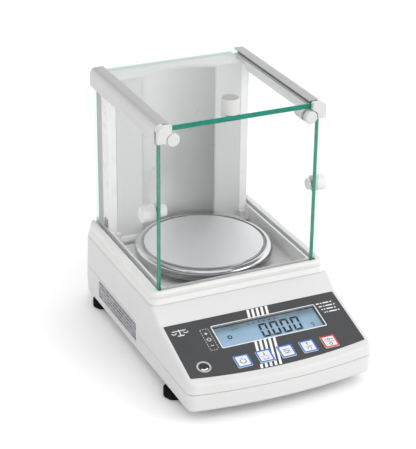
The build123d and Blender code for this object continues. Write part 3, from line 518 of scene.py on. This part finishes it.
# ---- materials ----------------------------------------------------------------------------------
PAN_LOW, PAN_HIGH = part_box("pan")
PAN_CENTRE = Vector(((PAN_LOW.x + PAN_HIGH.x) / 2, (PAN_LOW.y + PAN_HIGH.y) / 2, PAN_HIGH.z))

WHITE = (0.61, 0.61, 0.607)
LOOKS = {
    "case_plastic": surface("case_plastic", WHITE, 0.40, grain=0.45, relief=0.02, edge=0.6),
    "tray_plastic": surface("tray_plastic", (0.68, 0.677, 0.67), 0.36, grain=0.5, edge=0.5),
    "steel": surface("screw_steel", (0.56, 0.57, 0.58), 0.3, metallic=1.0, edge_gain=1.3),
    "plate_label": label_material("label_foil"),
    "foot_black": surface("foot_rubber", (0.003, 0.003, 0.0033), 0.75, relief=0.03, edge_gain=1.5,
                          specular=0.15, dust=0.02),
    "brass": surface("insert_brass", (0.72, 0.52, 0.24), 0.28, metallic=1.0, edge_gain=1.2),
    "overlay_grey": surface("control_foil", srgb(60, 61, 64), 0.5, grain=0.28, edge=0.2),
    "key_white": surface("key_foil", srgb(216, 217, 222), 0.38, relief=0.006, edge=0.3),
    "key_red": surface("key_foil_red", srgb(217, 214, 214), 0.38, relief=0.006, edge=0.3),
    "board_green": surface("board_mask", (0.02, 0.16, 0.06), 0.35, coat=0.4),
    "bezel_grey": surface("level_ring", srgb(176, 176, 178), 0.25, edge=0.2),
    "socket_black": surface("socket_plastic", (0.02, 0.02, 0.021), 0.38, relief=0.01,
                            edge_gain=2.0),
    "white_plastic": surface("trim_plastic", (0.575, 0.572, 0.568), 0.30, grain=0.6, relief=0.006,
                             edge=0.5),
    "rail_grey": surface("rail_plastic", (0.53, 0.527, 0.53), 0.36, grain=0.5, relief=0.008,
                         edge=0.5, facing_tone=("Z", 0.6, 0.95, 0.62)),
    "wall_plastic": surface("wall_plastic", (0.49, 0.49, 0.49), 0.38, grain=0.5, relief=0.01,
                            edge=0.5),
    "cover_grey": surface("cover_grey", srgb(128, 128, 131), 0.42, grain=0.45, relief=0.02,
                          edge=0.6),
    # painted shade: faces of the niche turned towards -X take a darker tone
    "satin_sheet": surface("satin_sheet", (0.53, 0.53, 0.533), 0.34, metallic=0.5, grain=0.25,
                           relief=0.001, stretch=(1, 1, 0.03), edge=0.1, dust=0.0,
                           facing_tone=("X", 0.45, -0.55, 0.5)),
    "cast_alloy": surface("cast_alloy", (0.60, 0.61, 0.62), 0.42, metallic=0.9, grain=0.8,
                          relief=0.05),
    "bright_steel": surface("ground_steel", (0.66, 0.67, 0.69), 0.22, metallic=1.0,
                            stretch=(1, 12, 1)),
    "pad_rubber": surface("pad_rubber", (0.04, 0.04, 0.04), 0.6),
    "pane_glass": pane_material("pane_glass", (0.987, 0.991, 0.99)),
    "window_clear": pane_material("window_clear", (0.98, 0.985, 0.99), 0.06, 0.01),
    "vial_clear": surface("vial_fluid", srgb(40, 41, 38), 0.12, coat=0.6, relief=0.0),
    "display_blue": display_material("display_face"),
    "pan_steel": spun_material("pan_plate", (0.86, 0.862, 0.875), 0.50, 0.22, 0.004),
}
# lighter copy of the trim plastic: on the right door's knob and its washer it is painted light that washes out
# their shading; the rear posts take the same lighter tone
BRIGHT_TRIM = surface("bright_trim", (0.70, 0.698, 0.692), 0.30, grain=0.6, relief=0.006, edge=0.5)
# painted shade: the top door's knob is darker on its upward faces
KNOB_TRIM = surface("knob_plastic", (0.56, 0.555, 0.55), 0.34, grain=0.6, relief=0.006,
                    facing_tone=("Z", 0.6, 0.95, 0.5))
NODE_LOOKS = {"rear_posts": BRIGHT_TRIM, "right_door_knob": BRIGHT_TRIM,
              "right_knob_disc": BRIGHT_TRIM, "top_door_knob": KNOB_TRIM}
GLASS_EDGE = glass_edge_material("glass_edge")
PAN_POLISH = spun_material("pan_polish", (0.58, 0.587, 0.60), 0.05, 0.6, 0.002)
# dark copy of the polished steel: painted dark reflection on the pan's groove, the crown's downturned end, the
# skirt and the inner side
PAN_PAINTED_DARK = spun_material("pan_painted_dark_reflection", (0.20, 0.205, 0.215), 0.10, 0.6, 0.002)
PRINT_WHITE = surface("print_white", srgb(232, 233, 235), 0.42, relief=0.002, edge=0.05)
PRINT_DARK = surface("print_dark", srgb(40, 42, 46), 0.42, relief=0.002, edge=0.05)
PRINT_BLUE = surface("print_blue", srgb(0, 108, 200), 0.40, relief=0.002, edge=0.05)
PRINT_RED = surface("print_red", srgb(200, 0, 28), 0.40, relief=0.002, edge=0.05)
SEGMENT_INK = surface("segment_ink", srgb(6, 10, 14), 0.6, relief=0.0, edge=0.05)


def dress_nodes():
    """Gives every CAD node the finish of its slot, or its own where NODE_LOOKS has one."""
    for name, piece in NODES.items():
        for held in piece.material_slots:
            held.material = NODE_LOOKS.get(name, LOOKS[SLOT_OF[name]])


# ---- glass --------------------------------------------------------------------------------------
PANES = (("front_pane", 1), ("left_door", 0), ("right_door", 0), ("top_door", 2))    # and its axis
FACE_ALIGNED = 0.9           # how square to its axis a sheet's large face is


def make_panes():
    """The four glass sheets, with green ground edges."""
    for node, axis in PANES:
        copy_of(node, node + "_glass", [LOOKS["pane_glass"], GLASS_EDGE],
                lambda normal, axis=axis: 0 if abs(normal[axis]) > FACE_ALIGNED else 1)


# ---- pan ----------------------------------------------------------------------------------------
PLATE, POLISHED, PAINTED_DARK = 0, 1, 2      # the dish's materials; the third is a dark copy of the polish that paints dark reflection
CROWN_PAINTED_DARK = 10                      # last steps of the crown, which turn downwards and carry the painted dark reflection


def make_pan():
    """Spun dish: satin plate and polished crown, with painted dark reflection on the plate's rounded edge, the
    groove, the crown's downturned end, the skirt and the inner side.

    The profile's parts are in millimetres from the plate's centre."""
    top = [(0.0, 0.0), (20, 0.0), (40, 0.0), (60.2, 0.0)] + arc_points((60.2, -0.5), 0.5, 90, 20, 4)
    groove = [(60.95, -1.0)] + arc_points((61.6, -1.0), 0.5, 200, 300, 5)
    rise = [(62.4, -1.28), (63.4, -0.95)]
    crown = arc_points((64.6, -5.9), 5.4, 97, 0, 26)
    skirt = [(70.0, -8.6)] + arc_points((69.4, -9.3), 0.6, 0, -180, 8)
    inner = [(68.8, -6.2)] + arc_points((64.6, -5.9), 4.2, 0, 90, 12)
    inner += [(61.0, -1.9), (60.0, -1.2), (0.0, -1.2)]
    profile = top + groove + rise + crown + skirt + inner
    rim = len(top) + len(groove) + len(rise)
    # every step starts with the painted dark reflection; the plate's and the polished steps are set below
    bands = [PAINTED_DARK] * (len(profile) - 1)
    bands[:len(top) - 3] = [PLATE] * (len(top) - 3)      # all but the plate's rounded edge
    bands[rim:rim + len(crown) - CROWN_PAINTED_DARK] = [POLISHED] * (len(crown) - CROWN_PAINTED_DARK)
    profile = [(radius * MM, height * MM) for radius, height in profile]
    piece = lathe("pan_dish", profile, PAN_CENTRE, [LOOKS["pan_steel"], PAN_POLISH, PAN_PAINTED_DARK],
                  "pan_carrier", bands)
    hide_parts("pan")


# ---- prints of the control slope ----------------------------------------------------------------
SKIN = 0.02                  # height of the prints' underside above the sheet
LINE_OUT = 0.9               # how far the window's line reaches out beyond it, and its width
LINE_ROUND = 1.6
BAR_LEAN = -19.5 / 77        # across for each unit down
BARS = [-3.5 + 4.9 * k for k in range(5)]     # left edges at the sheet's top
BAR_WIDE, BAR_START, BAR_END = 2.6, 0.9, 75.4
BAR_CLEAR = 1.1              # between the bars and the window
BAR_STEPS, BAR_SLIVER = 16, 0.1      # between the keys: slices, and the narrowest one kept
KEY_CLEAR = 0.5
KEY_LINE, KEY_ROUND = 1.4, 1.6
DIGIT_COUNT, DIGIT_START, DIGIT_PITCH = 4, -1.2, 11.3
DIGIT_TOP, DIGIT_LOW, DIGIT_WIDE = 19.9, 37.5, 8.6
DIGIT_BAR, DIGIT_GAP, DIGIT_LEAN = 2.2, 0.25, -0.05
INK_RISE, INK_THICK = 0.01, 0.06     # of the marks above the display's face


def lifted(node):
    """Height of a node's top above the sheet, in millimetres."""
    top = max(v.co.dot(NORMAL) for v in NODES[node].data.vertices)
    return (top - SHEET_TOP) / MM


def window_line():
    """White line round the display window."""
    middle = (sum(WINDOW_X) / 2, sum(WINDOW_S) / 2)
    width, height = (high - low + 2 * LINE_OUT for low, high in (WINDOW_X, WINDOW_S))
    line = round_frame(*middle, width, height, LINE_ROUND, LINE_OUT)
    printed("window_line", line, SKIN, PRINT_WHITE)


def slanted_bars():
    """Plain bars that run down the sheet, cut out round the window and the keys."""
    reach = KEY_SIZE / 2 + KEY_CLEAR
    runs = ((BAR_START, WINDOW_S[0] - BAR_CLEAR), (WINDOW_S[1] + BAR_CLEAR, KEY_S - reach),
            (KEY_S + reach, BAR_END))
    shapes = []
    for left in BARS:
        for low, high in runs:
            start, end = left + BAR_LEAN * low, left + BAR_LEAN * high
            shapes.append([(start, low), (end, high), (end + BAR_WIDE, high), (start + BAR_WIDE, low)])
        for k in range(BAR_STEPS):
            low = KEY_S - reach + 2 * reach * k / BAR_STEPS
            high = low + 2 * reach / BAR_STEPS
            start = left + BAR_LEAN * (low + high) / 2
            first, last = max(start, KEY_X[1] + reach), min(start + BAR_WIDE, KEY_X[2] - reach)
            if last - first > BAR_SLIVER:
                shapes.append(rect(first, low, last, high))
    printed("slanted_bars", shapes, SKIN, PRINT_WHITE)


def digit_zero(x):
    """Segments of one nought."""
    bar, gap = DIGIT_BAR, DIGIT_GAP
    middle = (DIGIT_TOP + DIGIT_LOW) / 2
    right = x + DIGIT_WIDE
    shapes = []
    for s, inner in ((DIGIT_TOP, 1), (DIGIT_LOW, -1)):
        shapes.append([(x + gap, s), (right - gap, s), (right - bar - gap, s + inner * bar),
                       (x + bar + gap, s + inner * bar)])
    for side, inner in ((x, 1), (right, -1)):
        for end, step in ((DIGIT_TOP, 1), (DIGIT_LOW, -1)):
            shapes.append([(side, end + step * gap),
                           (side + inner * bar, end + step * (bar + gap)),
                           (side + inner * bar, middle - step * (gap + bar / 2)),
                           (side, middle - step * gap)])
    return [[(px + DIGIT_LEAN * (ps - DIGIT_LOW), ps) for px, ps in shape] for shape in shapes]


def display_marks():
    """Noughts with a point, a mass unit, a steady ring and small marks under the top edge."""
    shapes = []
    for k in range(DIGIT_COUNT):
        shapes += digit_zero(DIGIT_START + DIGIT_PITCH * k)
    point = rect(8.0, DIGIT_LOW - 1.7, 9.5, DIGIT_LOW)
    ring = arc_band(-33.0, 28.2, 1.9, 0, 360, 1.2)
    unit = arc_band(52.6, 33.4, 1.2, 0, 360, 0.6) + [rect(53.5, 32.2, 54.1, 36.0)]
    unit += arc_band(52.7, 36.0, 1.1, 0, 140, 0.6)
    dashes = [rect(-27.5 + 2.4 * k, 19.0, -26.0 + 2.4 * k, 19.7) for k in range(3)]
    shapes += [point] + ring + unit + dashes
    top, low = 16.2, 17.6
    for k in range(6):
        left, right = -9.5 + 5.6 * k, -7.8 + 5.6 * k
        shapes += [stroke(left, top, right, low, 0.6), stroke(right, top, left, low, 0.6)]
    height = lifted("display_module") + INK_RISE
    printed("display_marks", shapes, height, SEGMENT_INK, thick=INK_THICK)


def icon_box():
    """Dashed frame with a plus, a ring and a minus beside the window."""
    left, right, top, low = -58.8, -50.4, 14.0, 41.0
    dash, thin, down_count, across_count = 1.7, 0.35, 9, 3
    shapes = []
    for k in range(down_count):
        s = top + (low - top) * k / down_count
        shapes += [rect(x, s, x + thin, s + dash) for x in (left, right)]
    for k in range(across_count):
        x = left + (right - left) * k / across_count
        shapes += [rect(x, s, x + dash, s + thin) for s in (top - 0.4, low)]
    middle = (left + right) / 2
    plus, ring, minus = 19.5, 27.4, 35.4
    shapes += [stroke(middle - 1.6, plus, middle + 1.6, plus, 0.7),
               stroke(middle, plus - 1.6, middle, plus - 0.4, 0.7),
               stroke(middle, plus + 0.4, middle, plus + 1.6, 0.7),
               stroke(middle - 1.5, minus, middle + 1.5, minus, 0.7)]
    shapes += arc_band(middle, ring, 1.9, 0, 360, 0.55)
    shapes.append(stroke(middle - 2.6, ring, middle - 1.0, ring, 0.5))
    printed("icon_box", shapes, SKIN, PRINT_WHITE)


def range_marks():
    """Four rows of short dashes at the sheet's upper right corner."""
    rows = ((3.4, 1.4, 6.4, 1.8), (3.4, 1.4, 7.2, 1.6), (1.4, 1.4, 7.2, 1.6), (1.4, 1.2, 8.6, 1.6))
    tall = gap = 1.3
    shapes = []
    for row, lengths in enumerate(rows):
        x, s = 66.4 + 1.1 * row, 12.0 + 4.1 * row
        for length in lengths:
            shapes.append(rect(x, s, x + length, s + tall))
            x += length + gap
    printed("range_marks", shapes, SKIN, PRINT_WHITE)


def scale_sign():
    """Small plain pictogram of a beam with two pans."""
    x, s = -78.0, 9.0
    beam = [stroke(x - 7, s, x - 0.5, s, 0.9), stroke(x + 0.5, s, x + 7, s, 0.9)]
    post = [stroke(x, s - 1.6, x, s + 5.6, 0.9)]
    pans = [quad for side in (-6, 6) for quad in arc_band(x + side, s + 1.2, 2.6, 20, 160, 0.8, 8)]
    shapes = beam + post + pans + [stroke(x - 3.4, s + 6.3, x + 3.4, s + 6.3, 1.0)]
    printed("scale_sign", shapes, SKIN, PRINT_WHITE)


def key_signs():
    """Plain signs on the keys: power, output, settings, store and zero."""
    bold, fine = 0.7, 0.6
    x, s = KEY_X, KEY_S
    parting = [stroke(mid - 4.2, s + 0.2, mid + 4.2, s + 0.2, 0.35) for mid in x]
    power = arc_band(x[0], s + 0.3, 2.9, -50, 230, bold)
    power.append(stroke(x[0], s - 4.0, x[0], s - 1.2, bold))
    output = [parting[1], stroke(x[1], s - 5.0, x[1], s - 2.4, fine),
              [(x[1] - 1.3, s - 2.4), (x[1] + 1.3, s - 2.4), (x[1], s - 0.9)],
              stroke(x[1] - 2.6, s + 4.2, x[1] + 2.6, s + 4.2, fine),
              stroke(x[1] - 2.6, s + 2.2, x[1] - 2.6, s + 3.8, fine),
              stroke(x[1] + 2.6, s + 2.2, x[1] + 2.6, s + 3.8, fine)]
    line = 2.2                                   # pitch of the settings sign's three lines
    settings = [stroke(x[2] - 3.4, s + line * k, x[2] + 3.4, s + line * k, 0.5) for k in (-1, 0, 1)]
    settings += [rect(x[2] + off - 0.6, s + line * k + 0.35, x[2] + off + 0.6, s + line * k + 1.1)
                 for k, off in ((-1, -1.6), (0, 1.6), (1, -0.6))]
    store = [parting[3], stroke(x[3], s - 3.6, x[3], s - 1.2, fine),
             [(x[3] - 1.4, s - 3.6), (x[3] + 1.4, s - 3.6), (x[3], s - 5.2)]]
    store += arc_band(x[3], s + 3.2, 1.9, -200, 70, fine)
    zero = [parting[4], stroke(x[4] - 4.6, s - 2.4, x[4] - 1.8, s - 2.4, fine),
            stroke(x[4] + 1.8, s - 2.4, x[4] + 4.6, s - 2.4, fine)]
    zero += arc_band(x[4], s - 2.4, 1.2, 0, 360, fine, 12)
    zero += arc_band(x[4], s + 3.2, 1.5, 0, 360, fine, 12)
    return power, output, settings, store, zero


def dress_keys():
    """Coloured outline and sign on each key; they move with it."""
    side = KEY_SIZE - 0.5
    for k, shapes in enumerate(key_signs()):
        node = f"key_{k + 1}"
        height = lifted(node) + SKIN
        body = BODY_OF[node]
        last = k == KEY_COUNT - 1
        outline = round_frame(KEY_X[k], KEY_S, side, side, KEY_ROUND, KEY_LINE)
        printed(node + "_line", outline, height, PRINT_RED if last else PRINT_BLUE, body)
        printed(node + "_sign", shapes, height, PRINT_DARK, body)


def level_light():
    """Crescent of light in the round level, and its bubble ring."""
    height = lifted("level_vial") + SKIN
    light = arc_band(LEVEL_X, LEVEL_S, 3.5, 35, 150, 1.7)
    ring = arc_band(LEVEL_X, LEVEL_S, 1.7, 0, 360, 0.25)
    printed("level_light", light, height, PRINT_WHITE)
    printed("level_ring_mark", ring, height, PRINT_DARK)


def dress_panel():
    """All prints of the control front."""
    window_line()
    slanted_bars()
    display_marks()
    icon_box()
    range_marks()
    scale_sign()
    level_light()
    dress_keys()


# ---- stage --------------------------------------------------------------------------------------
def make_stage():
    """Plain pale floor."""
    made, _, bsdf = shader("floor")
    bsdf.inputs["Base Color"].default_value = (FLOOR_TONE, FLOOR_TONE, FLOOR_TONE, 1)
    bsdf.inputs["Roughness"].default_value = FLOOR_ROUGH
    mesh = bpy.data.meshes.new("floor")
    half = FLOOR_SIZE / 2
    corners = [(-half, -half, 0), (half, -half, 0), (half, half, 0), (-half, half, 0)]
    mesh.from_pydata(corners, [], [(0, 1, 2, 3)])
    mesh.materials.append(made)
    floor = linked("floor", mesh)


make_camera()
make_world()
bpy.context.scene.view_settings.view_transform = "Standard"
make_lamp()
make_stage()
dress_nodes()
make_panes()
make_pan()
dress_panel()
